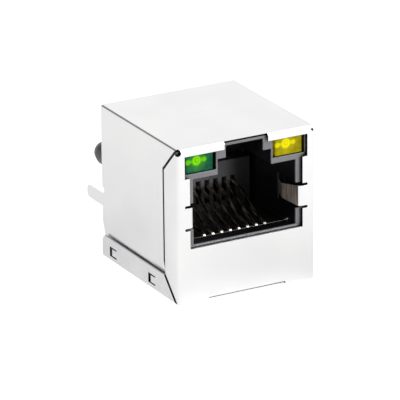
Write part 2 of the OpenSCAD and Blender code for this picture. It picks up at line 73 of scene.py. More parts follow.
camera = bpy.data.objects.new("camera", bpy.data.cameras.new("camera"))
bpy.context.scene.collection.objects.link(camera)
camera.data.sensor_width = SENSOR_WIDTH_MM
camera.data.lens = FOCAL_LENGTH_MM
camera.data.clip_start = 0.01
camera.data.clip_end = 20
camera.matrix_world = Matrix.Translation(
    AIM + back * DISTANCE - right * SHIFT_RIGHT - up * SHIFT_UP
) @ Matrix((right, up, back)).transposed().to_4x4()
bpy.context.scene.camera = camera
print("camera stands", round(camera.location.length, 3), "m from the origin, on the board face")

# %% [markdown]
# ## Helpers for finishes
# A finish is a small graph of nodes. One function adds a node with its settings and links, and
# another turns the hex colours that people read on a screen into the linear ones that are mixed. A
# third starts a finish with the values that are the same all over it, on the shader's own sockets.
# Each finish could be written out in full instead, but then its few real decisions would be hard to
# find.

# %% Colours
def linear(hex_colour):
    values = [int(hex_colour[i:i + 2], 16) / 255 for i in (1, 3, 5)]
    return [v / 12.92 if v <= 0.04045 else ((v + 0.055) / 1.055) ** 2.4 for v in values] + [1]


print("mid grey #808080 is", round(linear("#808080")[0], 3), "as a linear colour")


# %% Nodes
def add(tree, kind, settings=None, **sockets):
    """Adds a node with its settings and links.

    A socket is named with _ for its spaces, or in_0 for one known by number. The stops of a
    colour ramp are (position, hex colour) pairs.
    """
    made = tree.nodes.new(kind)
    for key, value in (settings or {}).items():
        if key == "stops":
            for element, (position, colour) in zip(made.color_ramp.elements, value):
                element.position = position
                element.color = linear(colour)
        else:
            setattr(made, key, value)
    for key, value in sockets.items():
        socket = made.inputs[int(key[3:]) if key.startswith("in_") else key.replace("_", " ")]
        if isinstance(value, bpy.types.NodeSocket):
            tree.links.new(value, socket)
        else:
            socket.default_value = value
    return made


def finish(name, metallic=0.0, roughness=0.5, **sockets):
    """A new material and its main shader, with the values that are the same all over."""
    material = bpy.data.materials.new(name)
    material.use_nodes = True
    tree = material.node_tree
    shader = tree.nodes["Principled BSDF"]
    shader.inputs["Metallic"].default_value = metallic
    shader.inputs["Roughness"].default_value = roughness
    for key, value in sockets.items():
        shader.inputs[key.replace("_", " ")].default_value = value
    return material, tree, shader


print("helpers ready: linear, add and finish")

# %% [markdown]
# ## Tin-plated steel
# The case is folded from cold-rolled steel strip with a bright tin plate. Rolling leaves faint
# streaks along the strip, and plating leaves a soft cloudiness, so the sheet is nearly white, gives
# a blurred mirror and never looks painted. The marks could be painted on a UV map. They are noise on
# Object coordinates instead, stretched along the strip, because a folded sheet has no easy map.
# The sheet is plated before it is cut, so its sheared edges are bare, dull steel. They are painted
# nearly black, darker than bare steel, as painted shade in the seams and gaps beside them. The spring
# fingers are painted brownish grey, a painted reflection of the brown contacts that they mirror. Faces
# of both kinds carry a mark, made later, which the finish reads.

# %% Sheet finishes
def plated_sheet(name, light, dark, roughness, cut_light="#262322", cut_dark="#12100f"):
    material, tree, shader = finish(name, metallic=1.0, roughness=roughness)
    place = add(tree, "ShaderNodeTexCoord").outputs["Object"]
    # Rolling streaks: 6.5 to a millimetre across the strip, and each about 7 mm long.
    strip = add(tree, "ShaderNodeMapping", Vector=place, Scale=(0.15 / MM, 6.5 / MM, 6.5 / MM))
    streaks = add(tree, "ShaderNodeTexNoise", Vector=strip.outputs["Vector"], Scale=1.0,
                  Detail=3.0).outputs["Fac"]
    # Clouds in the plate, 5 mm across.
    clouds = add(tree, "ShaderNodeTexNoise", Vector=place, Scale=0.2 / MM, Detail=2.0).outputs["Fac"]
    mixed = add(tree, "ShaderNodeMix", {"data_type": "FLOAT"}, in_0=0.35, in_2=clouds,
                in_3=streaks).outputs[0]
    plated = add(tree, "ShaderNodeValToRGB", {"stops": [(0.35, dark), (0.65, light)]}, Fac=mixed)
    # Sheared edges show the steel, painted nearly black as the shade in the seams and gaps.
    sheared = add(tree, "ShaderNodeAttribute", {"attribute_name": "sheared"}).outputs["Fac"]
    bare_steel_and_shade = add(tree, "ShaderNodeValToRGB", {"stops": [(0.35, cut_dark), (0.65, cut_light)]}, Fac=streaks)
    colour = add(tree, "ShaderNodeMix", {"data_type": "RGBA"}, in_0=sheared,
                 in_6=plated.outputs["Color"], in_7=bare_steel_and_shade.outputs["Color"])
    # Painted reflection: the fingers are brownish grey, for the brown contacts that they mirror, with fine
    # upright scratches 0.2 mm apart.
    finger_reflection = add(tree, "ShaderNodeAttribute", {"attribute_name": "finger_reflection"}).outputs["Fac"]
    upright = add(tree, "ShaderNodeMapping", Vector=place, Scale=(5 / MM, 5 / MM, 0.3 / MM))
    scratches = add(tree, "ShaderNodeTexNoise", Vector=upright.outputs["Vector"], Scale=1.0)
    dull = add(tree, "ShaderNodeValToRGB", {"stops": [(0.35, "#72665e"), (0.65, "#a69c94")]},
               Fac=scratches.outputs["Fac"])
    colour = add(tree, "ShaderNodeMix", {"data_type": "RGBA"}, in_0=finger_reflection, in_6=colour.outputs[2],
                 in_7=dull.outputs["Color"])
    tree.links.new(colour.outputs[2], shader.inputs["Base Color"])
    shiny = add(tree, "ShaderNodeMapRange", Value=finger_reflection, To_Min=1.0, To_Max=0.3)
    tree.links.new(shiny.outputs["Result"], shader.inputs["Metallic"])
    brushed = add(tree, "ShaderNodeMapRange", Value=streaks, To_Min=roughness - 0.05,
                  To_Max=roughness + 0.05)
    sheen = add(tree, "ShaderNodeMix", {"data_type": "FLOAT"}, in_0=sheared,
                in_2=brushed.outputs["Result"], in_3=0.55)
    tree.links.new(sheen.outputs[0], shader.inputs["Roughness"])
    relief = add(tree, "ShaderNodeBump", Height=streaks, Distance=0.0008 * MM)
    tree.links.new(relief.outputs["Normal"], shader.inputs["Normal"])
    return material


shell_finish = plated_sheet("tin-plated steel, rolled and folded", "#f4f4f3", "#efeff0", 0.24)
cover_finish = plated_sheet("tin-plated steel, pressed cover", "#ececec", "#e4e4e6", 0.28,
                            "#2e2b29", "#1a1817")
wire_finish = plated_sheet("tinned wire, drawn", "#dcdcda", "#c4c4c4", 0.3)
print("metal finishes:", shell_finish.name, "|", cover_finish.name, "|", wire_finish.name)

# %% [markdown]
# ## Black plastic
# The housing and the tray are injection moulded in glass-filled nylon, and the contact block in
# liquid crystal polymer. The mould was spark eroded, which leaves a fine grain, and flow marks change
# the gloss a little. Pale places are painted light: a painted reflection on the front faces of the
# mouth, a painted highlight on the rear edge of the sill and painted light on the wall above the comb.
# They could be painted as a mask on a UV map. They are made from bands along the axes instead, because
# each is a plain range of heights and depths.

# %% Moulded finish
def moulded(name, light, dark, roughness, grain_mm, painted_light_places=()):
    """Each painted light place is (bands, how much, colour, shaded_near_parts), a band (axis, from, to,
    softness).
    """
    material, tree, shader = finish(name, roughness=roughness, IOR=1.53)
    place = add(tree, "ShaderNodeTexCoord").outputs["Object"]
    # Real spark grain is near 0.02 mm. It is drawn coarser here, so that it can show.
    grain = add(tree, "ShaderNodeTexNoise", Vector=place, Scale=1 / (grain_mm * MM),
                Detail=4.0).outputs["Fac"]
    # Flow marks, 2 mm across.
    flow = add(tree, "ShaderNodeTexNoise", Vector=place, Scale=0.5 / MM, Detail=2.0,
               Distortion=0.6).outputs["Fac"]
    colour = add(tree, "ShaderNodeValToRGB", {"stops": [(0.35, dark), (0.65, light)]},
                 Fac=flow).outputs["Color"]
    # Painted shade: a place that is shaded_near_parts stays dark where another part stands close over it.
    open_air = add(tree, "ShaderNodeAmbientOcclusion", {"samples": 8}, Distance=0.8 * MM).outputs["AO"]
    clear = add(tree, "ShaderNodeMapRange", {"interpolation_type": "SMOOTHSTEP"}, Value=open_air,
                From_Min=0.4, From_Max=0.85).outputs["Result"]
    axes = add(tree, "ShaderNodeSeparateXYZ", Vector=place).outputs
    for bands, amount, pale, shaded_near_parts in painted_light_places:
        inside = None
        for axis, start, end, soft in bands:
            rise = add(tree, "ShaderNodeMapRange", {"interpolation_type": "SMOOTHSTEP"},
                       Value=axes[axis], From_Min=start - soft, From_Max=start + soft).outputs["Result"]
            fall = add(tree, "ShaderNodeMapRange", {"interpolation_type": "SMOOTHSTEP"},
                       Value=axes[axis], From_Min=end - soft, From_Max=end + soft,
                       To_Min=1.0, To_Max=0.0).outputs["Result"]
            band = add(tree, "ShaderNodeMath", {"operation": "MULTIPLY"}, in_0=rise, in_1=fall).outputs[0]
            inside = band if inside is None else add(
                tree, "ShaderNodeMath", {"operation": "MULTIPLY"}, in_0=inside, in_1=band).outputs[0]
        patchy = add(tree, "ShaderNodeMapRange", Value=grain, To_Min=amount - 0.15,
                     To_Max=amount + 0.15).outputs["Result"]
        for mask in (inside, clear) if shaded_near_parts else (inside,):
            patchy = add(tree, "ShaderNodeMath", {"operation": "MULTIPLY"}, in_0=patchy,
                         in_1=mask).outputs[0]
        colour = add(tree, "ShaderNodeMix", {"data_type": "RGBA"}, in_0=patchy, in_6=colour,
                     in_7=linear(pale)).outputs[2]
    tree.links.new(colour, shader.inputs["Base Color"])
    gloss = add(tree, "ShaderNodeMapRange", Value=flow, To_Min=roughness - 0.08, To_Max=roughness + 0.08)
    tree.links.new(gloss.outputs["Result"], shader.inputs["Roughness"])
    relief = add(tree, "ShaderNodeBump", Height=grain, Distance=0.004 * MM)
    tree.links.new(relief.outputs["Normal"], shader.inputs["Normal"])
    return material


print("moulded finish ready")

# %% Where light is painted on the mouldings
case_low, case_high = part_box("main_shell")
block_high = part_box("contact_block")[1]
mouth_y = case_low.y + 0.4 * MM  # the front of the housing
sill_y = case_low.y + 1.98 * MM  # just before the rear edge of the sill
sill_z = case_high.z - 10.59 * MM  # the top of the sill, which is the floor of the port
# Painted reflection on the front faces of the mouth, as a grey sheen on the black plastic, and a painted
# highlight along the rear edge of the sill.
painted_light_places = [
    ([("Y", mouth_y - 0.3 * MM, mouth_y + 0.16 * MM, 0.05 * MM)], 0.9, "#7e7e82", True),
    ([("Y", sill_y, case_low.y + 2.2 * MM, 0.02 * MM),
      ("Z", sill_z - 0.12 * MM, sill_z + 0.1 * MM, 0.02 * MM)], 1.0, "#ffffff", False),
]
# Painted light on the upper wall above the comb, all but its right end, which stays in shade.
lit_comb_wall = [([("X", -9 * MM, 3.3 * MM, 1.1 * MM),
           ("Z", block_high.z - 2.4 * MM, block_high.z + 1 * MM, 0.6 * MM)], 0.6, "#808084", False)]
print("mouth at y =", round(mouth_y / MM, 2), "mm, sill at z =", round(sill_z / MM, 2), "mm")

# %% Moulded finishes
housing_finish = moulded("glass-filled nylon, moulded black", "#0c0c0e", "#08080a", 0.34, 0.12, painted_light_places)
block_finish = moulded("liquid crystal polymer, moulded black", "#0c0c0e", "#08080a", 0.45, 0.14, lit_comb_wall)
tray_finish = moulded("glass-filled nylon, moulded grey-black", "#36363a", "#2e2e32", 0.45, 0.12)
print("moulded finishes:", housing_finish.name, "|", block_finish.name, "|", tray_finish.name)

# %% [markdown]
# ## Gold on bronze
# The contacts are phosphor bronze with a thin plating of gold. The wire is drawn and then formed,
# so it is bright and a little uneven along its length. The unevenness could be an anisotropic sheen.
# Noise stretched along the wire was chosen, because it also gives the dark lines between bright ones. Its
# near-white streaks are painted highlights.

# %% Contact finish
contact_finish, tree, shader = finish("phosphor bronze, gold plated", metallic=1.0, roughness=0.3)
place = add(tree, "ShaderNodeTexCoord").outputs["Object"]
# Die lines run along the wire: 8 to a millimetre across it, and each about 1.4 mm long. Their colour runs
# from near black to near white, so the bright ones are painted highlights.
along = add(tree, "ShaderNodeMapping", Vector=place, Scale=(8 / MM, 0.7 / MM, 0.7 / MM))
drawn = add(tree, "ShaderNodeTexNoise", Vector=along.outputs["Vector"], Scale=1.0,
            Detail=2.0).outputs["Fac"]
gold = add(tree, "ShaderNodeValToRGB", {"stops": [(0.4, "#3c3026"), (0.64, "#ffeeda")]}, Fac=drawn)
# Painted highlight: the front bends, which lie level with the sill, are painted near white.
height = add(tree, "ShaderNodeSeparateXYZ", Vector=place).outputs["Z"]
painted_glint = add(tree, "ShaderNodeMapRange", Value=height, From_Min=sill_z + 0.05 * MM,
               From_Max=sill_z - 0.08 * MM).outputs["Result"]
gold = add(tree, "ShaderNodeMix", {"data_type": "RGBA"}, in_0=painted_glint, in_6=gold.outputs["Color"],
           in_7=linear("#fff6ec"))
gloss = add(tree, "ShaderNodeMapRange", Value=drawn, To_Min=0.24, To_Max=0.38)
tree.links.new(gold.outputs[2], shader.inputs["Base Color"])
tree.links.new(gloss.outputs["Result"], shader.inputs["Roughness"])
print("contact finish:", contact_finish.name)

# %% [markdown]
# ## Rounding the CAD pieces
# Nothing real has a razor edge, and an edge shows mostly by the light that its small radius
# catches. The pieces could be modelled again from primitives, but their shapes are right already.
# A CAD mesh is loose triangles, so a copy is merged and its flat areas made whole, and then a Bevel
# modifier rounds its edges. The copy stands for the CAD piece, which keeps its own mesh.

# %% Select and hand over a piece
def only(piece):
    bpy.ops.object.select_all(action="DESELECT")
    piece.select_set(True)
    bpy.context.view_layer.objects.active = piece


def keep(piece, material, slot, *stands_for):
    """Gives a finished piece its finish and its body, and hides the CAD nodes that it stands for."""
    piece.data.materials.clear()
    piece.data.materials.append(material)
    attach(piece, "root")
    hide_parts(*stands_for)


print("helpers ready: only and keep")


# %% Round the edges of a copy
MERGE = 0.001 * MM  # corners nearer than this are one corner
FLAT, SHARP = math.radians(0.5), math.radians(32)  # faces that are one, and edges that get rounded


def rounded_copy(node, name, width_mm):
    piece = bpy.data.objects.new(name, nodes[node].data.copy())
    bpy.context.scene.collection.objects.link(piece)
    only(piece)
    bpy.ops.mesh.customdata_custom_splitnormals_clear()
    bpy.ops.object.mode_set(mode="EDIT")
    bpy.ops.mesh.select_all(action="SELECT")
    bpy.ops.mesh.remove_doubles(threshold=MERGE)
    bpy.ops.mesh.dissolve_limited(angle_limit=FLAT)
    bpy.ops.object.mode_set(mode="OBJECT")
    bpy.ops.object.shade_smooth()
    edge = piece.modifiers.new("edges", "BEVEL")
    edge.width = width_mm * MM
    edge.segments = 2
    edge.limit_method = "ANGLE"
    edge.angle_limit = SHARP
    edge.harden_normals = True
    bpy.ops.object.modifier_apply(modifier=edge.name)
    return piece


print("edges sharper than", round(math.degrees(SHARP)), "degrees get rounded")

# %% [markdown]
# ## Sheared edges and spring fingers
# A press shears the sheet out of plated strip, so its cut edges are bare. They could get a material
# of their own. Instead each face carries a number from 0 to 1 and the sheet's finish reads it, because
# an edge can then carry only part of the painted dark. A sheared face is known by its width, which is a
# little less than the thickness of the sheet. The round holes at the two top front corners are known
# by their place. The fingers are marked too, for their painted reflection.

# %% Mark the sheared faces and the fingers
SHEET_MM = 0.2
NARROWEST, WIDEST = 0.55 * SHEET_MM, 0.95 * SHEET_MM  # of a cut face, which rounding has narrowed
HOLE_IN, HOLE_DOWN, HOLE_REACH = 0.175 * MM, 0.35 * MM, 0.42 * MM
corner_holes = [Vector((side * (case_high.x - HOLE_IN), case_low.y + HOLE_IN, case_high.z - HOLE_DOWN))
                for side in (1, -1)]
leg_root_y = case_high.y - 3.45 * MM  # the legs stick out past this
port_side_x = case_high.x - 1.6 * MM  # nearer the middle, faces that look sideways are the fingers


def mark_sheared(piece):
    mask = piece.data.attributes.new("sheared", "FLOAT", "FACE")
    finger_reflection = piece.data.attributes.new("finger_reflection", "FLOAT", "FACE")
    corners = piece.data.vertices
    count = 0
    for face in piece.data.polygons:
        # The area of a long strip over half its outline is nearly its width.
        outline = sum((corners[a].co - corners[b].co).length for a, b in face.edge_keys)
        width_mm = 2 * face.area / outline / MM
        out = min((face.center - hole for hole in corner_holes), key=lambda away: away.length)
        in_hole = out.length < HOLE_REACH and face.normal.dot(out) < -0.5 * out.length
        on_leg = face.center.y > leg_root_y
        if in_hole or (NARROWEST < width_mm < WIDEST and not on_leg):
            # The cover's cut edges that face up get less of the painted dark, so they read paler.
            paler_top_edge = piece.name == "cover_sheet" and face.normal.z > 0.9
            mask.data[face.index].value = 0.3 if paler_top_edge else 1.0
            count += 1
        elif abs(face.center.x) < port_side_x and abs(face.normal.x) > 0.9:
            finger_reflection.data[face.index].value = 1.0
    print(piece.name, "sheared faces:", count)


# %% Round every sheet, moulding and wire
ROUNDED = [
    ("main_shell", "shell_sheet", 0.02, shell_finish, "shell_metal"),
    ("cover", "cover_sheet", 0.02, cover_finish, "cover_metal"),
    ("housing", "housing_moulding", 0.08, housing_finish, "housing_plastic"),
    ("contact_block", "contact_block_moulding", 0.04, block_finish, "block_plastic"),
    ("magnetics_tray", "tray_moulding", 0.05, tray_finish, "block_plastic"),
]
for k in range(1, 9):
    ROUNDED.append((f"contact_{k}", f"contact_wire_{k}", 0.1, contact_finish, "contact_gold"))
for k in range(1, 11):
    ROUNDED.append((f"signal_pin_{k}", f"signal_pin_wire_{k}", 0.02, wire_finish, "lead_metal"))
for side in ("green", "yellow"):
    for lead in ("anode", "cathode"):
        ROUNDED.append((f"led_{side}_{lead}", f"lamp_{side}_{lead}_wire", 0.05, wire_finish, "lead_metal"))
for node, name, width_mm, material, slot in ROUNDED:
    piece = rounded_copy(node, name, width_mm)
    if material in (shell_finish, cover_finish):
        mark_sheared(piece)
    keep(piece, material, slot, node)
print("rounded copies:", len(ROUNDED))

# %% [markdown]
# ## Lamps
# Each lamp is a block of tinted resin cast around two leads. One lead ends in a small reflector cup,
# with a post on either side, and the cup and posts mirror the studio through the resin. The cup could
# be modelled inside a clear block. Its reflection is painted on the block instead, in discs around the
# lamp's own middle, because it then looks the same however few bounces of light are rendered, and the
# block glows a little with these colours by itself. Cast resin has a smooth, glassy face.

# %% Tinted resin
# Discs in mm from the middle of a lamp: x, z, radius and how soft the rim is.
CUP, HALO = (-0.3, 0, 0.54, 0.08), (-0.3, 0, 0.9, 0.75)
RING_OUT, RING_IN = (-0.3, 0, 0.42, 0.05), (-0.3, 0, 0.3, 0.06)
SPARK = (-0.24, 0.06, 0.13, 0.1)
POSTS = [(-1.28, -0.06, 0.28, 0.08), (-1.0, -0.03, 0.16, 0.08), (0.28, 0.01, 0.2, 0.08),
         (0.56, 0.03, 0.26, 0.08)]


def lamp_finish(name, node, body, deep, glow, core):
    """Tinted resin with the cup's reflection painted around the lamp's own middle, glowing a little."""
    low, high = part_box(node)
    middle = (low + high) / 2
    # The block glows at a fifth of full strength with its painted colours, a painted light of its own.
    material, tree, shader = finish(name, roughness=0.12, IOR=1.52, Specular_IOR_Level=0.08,
                                    Emission_Strength=0.2)
    place = add(tree, "ShaderNodeTexCoord").outputs["Object"]
    centred = add(tree, "ShaderNodeMapping", Vector=place,
                  Location=(-middle.x / MM, 0, -middle.z / MM), Scale=(1 / MM, 0, 1 / MM))
    at = centred.outputs["Vector"]

    def disc(x, z, radius, soft):
        """1 inside a disc, fading to 0 over its soft rim."""
        away = add(tree, "ShaderNodeVectorMath", {"operation": "DISTANCE"}, in_0=at,
                   in_1=(x, 0, z)).outputs["Value"]
        return add(tree, "ShaderNodeMapRange", {"interpolation_type": "SMOOTHSTEP"}, Value=away,
                   From_Min=radius - soft, From_Max=radius + soft, To_Min=1.0,
                   To_Max=0.0).outputs["Result"]

    glare = disc(*CUP)
    for post in POSTS:
        glare = add(tree, "ShaderNodeMath", {"operation": "MAXIMUM"}, in_0=glare,
                    in_1=disc(*post)).outputs[0]
    ring = add(tree, "ShaderNodeMath", {"operation": "SUBTRACT"}, in_0=disc(*RING_OUT),
               in_1=disc(*RING_IN)).outputs[0]
    spot = add(tree, "ShaderNodeMath", {"operation": "MAXIMUM"}, in_0=ring, in_1=disc(*SPARK)).outputs[0]
    # Swirls in the resin, about 0.6 mm across.
    streak = add(tree, "ShaderNodeTexNoise", Vector=at, Scale=1.6, Detail=3.0).outputs["Fac"]
    body_colour = add(tree, "ShaderNodeValToRGB", {"stops": [(0.3, deep), (0.7, body)]}, Fac=streak)
    faint = add(tree, "ShaderNodeMapRange", Value=disc(*HALO), To_Max=0.35).outputs["Result"]
    haloed = add(tree, "ShaderNodeMix", {"data_type": "RGBA"}, in_0=faint,
                 in_6=body_colour.outputs["Color"], in_7=linear(glow)).outputs[2]
    glowing = add(tree, "ShaderNodeMix", {"data_type": "RGBA"}, in_0=glare, in_6=haloed,
                  in_7=linear(glow)).outputs[2]
    bright = add(tree, "ShaderNodeMapRange", Value=spot, To_Max=0.6).outputs["Result"]
    spotted = add(tree, "ShaderNodeMix", {"data_type": "RGBA"}, in_0=bright, in_6=glowing,
                  in_7=linear(core)).outputs[2]
    tree.links.new(spotted, shader.inputs["Base Color"])
    tree.links.new(spotted, shader.inputs["Emission Color"])
    return material


green_finish = lamp_finish("green tinted epoxy, cast", "led_green",
                           "#125e40", "#07422a", "#5ebe00", "#a0e800")
yellow_finish = lamp_finish("yellow tinted epoxy, cast", "led_yellow",
                            "#9c9000", "#766e00", "#d8cc00", "#f6ec00")
print("lamp finishes:", green_finish.name, "|", yellow_finish.name)

# %% Cast the lamp bodies
CAST_RADIUS = 0.1 * MM
FRAME_WIDTH, FRAME_DEPTH = 0.06 * MM, 0.02 * MM


def cast_block(name, node):
    """A block with rounded edges and a shallow frame around its front, as the casting cup leaves."""
    low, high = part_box(node)
    bpy.ops.object.select_all(action="DESELECT")
    bpy.ops.mesh.primitive_cube_add(size=1, location=(low + high) / 2)
    piece = bpy.context.object
    piece.name = name
    bpy.ops.transform.resize(value=high - low)
    bpy.ops.object.transform_apply(location=True, rotation=True, scale=True)
    bpy.ops.object.mode_set(mode="EDIT")
    bpy.ops.mesh.select_all(action="SELECT")
    bpy.ops.mesh.bevel(offset=CAST_RADIUS, segments=3, affect="EDGES")
    bpy.ops.mesh.select_all(action="DESELECT")
    bpy.ops.object.mode_set(mode="OBJECT")
    for face in piece.data.polygons:
        face.select = face.normal.y < -0.99
    bpy.ops.object.mode_set(mode="EDIT")
    bpy.ops.mesh.inset(thickness=FRAME_WIDTH)
    bpy.ops.transform.translate(value=(0, FRAME_DEPTH, 0))
    bpy.ops.mesh.select_all(action="DESELECT")
    bpy.ops.object.mode_set(mode="OBJECT")
    bpy.ops.object.shade_smooth_by_angle(angle=math.radians(35))
    return piece


keep(cast_block("lamp_green_body", "led_green"), green_finish, "green_lens", "led_green")
keep(cast_block("lamp_yellow_body", "led_yellow"), yellow_finish, "yellow_lens", "led_yellow")
print("lamp bodies: 2")

# %% [markdown]
# ## Coils
# A coil is a ferrite ring with a layer of enamelled wire wound through it. The winding could be one
# long curve with a bevel. Here one turn is made as a wire ring stretched to the section of the
# ferrite, repeated round the ring, and joined as one wire, because each turn then hugs the ferrite
# and stays a closed shape. A gap is left in the winding, where the two ends would come off.

# %% Measure the ring
TURNS, WIRE_RADIUS = 14, 0.1 * MM
WOUND, FIRST_TURN = math.radians(300), math.radians(120)
core_low, core_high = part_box("core_1")
coil_middle = (core_low + core_high) / 2
ring_out = (core_high.x - core_low.x) / 2
ring_in = ring_out / 2
section_width, section_height = ring_out - ring_in, core_high.z - core_low.z
print("ferrite section", round(section_width / MM, 2), "by", round(section_height / MM, 2), "mm")


# %% Make one turn
def one_turn():
    """A ring of wire stretched up and down, standing across the ferrite's section."""
    loop = section_width / 2 + WIRE_RADIUS
    bpy.ops.object.select_all(action="DESELECT")
    bpy.ops.mesh.primitive_torus_add(major_segments=20, minor_segments=8, major_radius=loop,
                                     minor_radius=WIRE_RADIUS, rotation=(math.pi / 2, 0, 0))
    turn = bpy.context.object
    bpy.ops.object.transform_apply(location=False, rotation=True, scale=True)
    stretch = section_height / 2 + WIRE_RADIUS - loop
    for half in (1, -1):
        for vertex in turn.data.vertices:
            vertex.select = vertex.co.z * half > 0.001 * MM
        for line in turn.data.edges:
            line.select = all(turn.data.vertices[i].select for i in line.vertices)
        for face in turn.data.polygons:
            face.select = all(turn.data.vertices[i].select for i in face.vertices)
        bpy.ops.object.mode_set(mode="EDIT")
        bpy.ops.transform.translate(value=(0, 0, half * stretch))
        bpy.ops.object.mode_set(mode="OBJECT")
    return turn


first_turn = one_turn()
print("one turn has", len(first_turn.data.vertices), "vertices")

# %% Wind one coil
turns = []
for k in range(TURNS):
    angle = FIRST_TURN + WOUND * (k + 0.5) / TURNS
    turn = bpy.data.objects.new("turn", first_turn.data.copy())
    bpy.context.scene.collection.objects.link(turn)
    turn.matrix_world = (Matrix.Translation(coil_middle) @ Matrix.Rotation(angle, 4, "Z")
                         @ Matrix.Translation(((ring_in + ring_out) / 2, 0, 0)))
    turns.append(turn)
bpy.data.objects.remove(first_turn)
bpy.ops.object.select_all(action="DESELECT")
for turn in turns:
    turn.select_set(True)
bpy.context.view_layer.objects.active = turns[0]
bpy.ops.object.join()
coil_wire = bpy.context.object
coil_wire.name = "coil_wire_1"
bpy.ops.object.transform_apply(location=True, rotation=True, scale=True)
bpy.ops.object.shade_smooth()
print("turns in a coil:", TURNS, "vertices:", len(coil_wire.data.vertices))

# %% [markdown]
# ## Copper, ferrite and ceramic
# Enamel gives copper wire a darker, glassy red-brown. Ferrite is pressed powder, so it is matt and
# finely pitted. The chips are glazed or sintered ceramic. All of this is inside the case, so it could
# be left plain, but a reader may take the jack apart. The ceramics differ only in colour, gloss and
# the size of their specks, so one function makes all three.

# %% Enamelled copper
copper_finish, tree, shader = finish("enamelled copper wire, drawn", metallic=1.0, roughness=0.25,
                                     Coat_Weight=0.5, Coat_Roughness=0.1)
place = add(tree, "ShaderNodeTexCoord").outputs["Object"]
enamel = add(tree, "ShaderNodeTexNoise", Vector=place, Scale=1 / MM, Detail=2.0).outputs["Fac"]
amber = add(tree, "ShaderNodeValToRGB", {"stops": [(0.35, "#9c5224"), (0.65, "#c97a3c")]}, Fac=enamel)
tree.links.new(amber.outputs["Color"], shader.inputs["Base Color"])
gloss = add(tree, "ShaderNodeMapRange", Value=enamel, To_Min=0.2, To_Max=0.32)
tree.links.new(gloss.outputs["Result"], shader.inputs["Roughness"])
print("coil finish:", copper_finish.name)


# %% Ceramics
def ceramic(name, light, dark, roughness, speck_mm):
    material, tree, shader = finish(name, roughness=roughness)
    place = add(tree, "ShaderNodeTexCoord").outputs["Object"]
    specks = add(tree, "ShaderNodeTexNoise", Vector=place, Scale=1 / (speck_mm * MM),
                 Detail=5.0).outputs["Fac"]
    fired = add(tree, "ShaderNodeValToRGB", {"stops": [(0.35, dark), (0.65, light)]}, Fac=specks)
    tree.links.new(fired.outputs["Color"], shader.inputs["Base Color"])
    gloss = add(tree, "ShaderNodeMapRange", Value=specks, To_Min=roughness - 0.08,
                To_Max=roughness + 0.08)
    tree.links.new(gloss.outputs["Result"], shader.inputs["Roughness"])
    pits = add(tree, "ShaderNodeBump", Height=specks, Distance=0.006 * MM)
    tree.links.new(pits.outputs["Normal"], shader.inputs["Normal"])
    return material


ferrite_finish = ceramic("ferrite, pressed and sintered", "#55555a", "#3c3c41", 0.62, 0.08)
chip_finish = ceramic("alumina chip, glazed black", "#2c2c30", "#1e1e22", 0.3, 0.15)
capacitor_finish = ceramic("barium titanate chip, sintered", "#c8a078", "#b08a62", 0.5, 0.12)
print("ceramics:", ferrite_finish.name, "|", chip_finish.name, "|", capacitor_finish.name)

# %% [markdown]
# ## Circuit board
# The board is woven glass and resin under a green solder mask. The weave shows through the mask as a
# fine square grain. Two wave textures at right angles give it, since cloth is two sets of threads.

# %% Board finish
THREAD_MM = 0.4  # from one bundle of glass thread to the next, in both directions
WAVE = 10 / math.pi  # waves that a Wave texture fits in one unit at a scale of 1
board_finish, tree, shader = finish("glass epoxy laminate, solder masked", roughness=0.35)
place = add(tree, "ShaderNodeTexCoord").outputs["Object"]
threads = [add(tree, "ShaderNodeTexWave", {"bands_direction": axis}, Vector=place,
               Scale=1 / WAVE / (THREAD_MM * MM), Distortion=0.3).outputs["Fac"] for axis in ("X", "Y")]
weave = add(tree, "ShaderNodeMath", {"operation": "ADD"}, in_0=threads[0], in_1=threads[1]).outputs[0]
half = add(tree, "ShaderNodeMapRange", Value=weave, To_Max=0.5).outputs["Result"]
mask = add(tree, "ShaderNodeValToRGB", {"stops": [(0.2, "#0f5a34"), (0.8, "#1d7a48")]}, Fac=half)
tree.links.new(mask.outputs["Color"], shader.inputs["Base Color"])
cloth = add(tree, "ShaderNodeBump", Height=weave, Distance=0.004 * MM)
tree.links.new(cloth.outputs["Normal"], shader.inputs["Normal"])
print("board finish:", board_finish.name)

# %% [markdown]
# ## Inside the case
# Eight coils lie in the tray, each wound on its own ferrite ring, and all alike. Four chip resistors
# and one capacitor lie on the circuit board. Each coil could be wound anew. The first one is copied
# instead, each copy with its own mesh, and moved in edit mode, so that every object stays at the
# origin. The rest are rounded copies.

# %% Place the coils, rings and chips
for k in range(1, 9):
    low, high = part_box(f"core_{k}")
    if k == 1:
        wire = coil_wire
    else:
        wire = bpy.data.objects.new(f"coil_wire_{k}", coil_wire.data.copy())
        bpy.context.scene.collection.objects.link(wire)
        only(wire)
        bpy.ops.object.mode_set(mode="EDIT")
        bpy.ops.mesh.select_all(action="SELECT")
        bpy.ops.transform.translate(value=(low + high) / 2 - coil_middle)
        bpy.ops.object.mode_set(mode="OBJECT")
    keep(wire, copper_finish, "enamelled_copper", f"winding_{k}")
    keep(rounded_copy(f"core_{k}", f"ferrite_ring_{k}", 0.08), ferrite_finish, "ferrite", f"core_{k}")
for k in range(1, 5):
    keep(rounded_copy(f"resistor_{k}", f"chip_resistor_{k}", 0.05), chip_finish,
         "resistor_ceramic", f"resistor_{k}")
keep(rounded_copy("capacitor", "chip_capacitor", 0.08), capacitor_finish,
     "capacitor_ceramic", "capacitor")
keep(rounded_copy("circuit_board", "board_laminate_sheet", 0.02), board_finish,
     "board_laminate", "circuit_board")
print("placed: 8 coils, 8 rings, 4 resistors, 1 capacitor, 1 board")

# %% [markdown]
# ## Floor
# The jack lies on pale, matt paper, which has to look nearly white and still take a soft shadow. More
# light would make it white, but it would also wash out the jack. So the paper glows by its own colour,
# only to the camera, in mirrors and through glass.

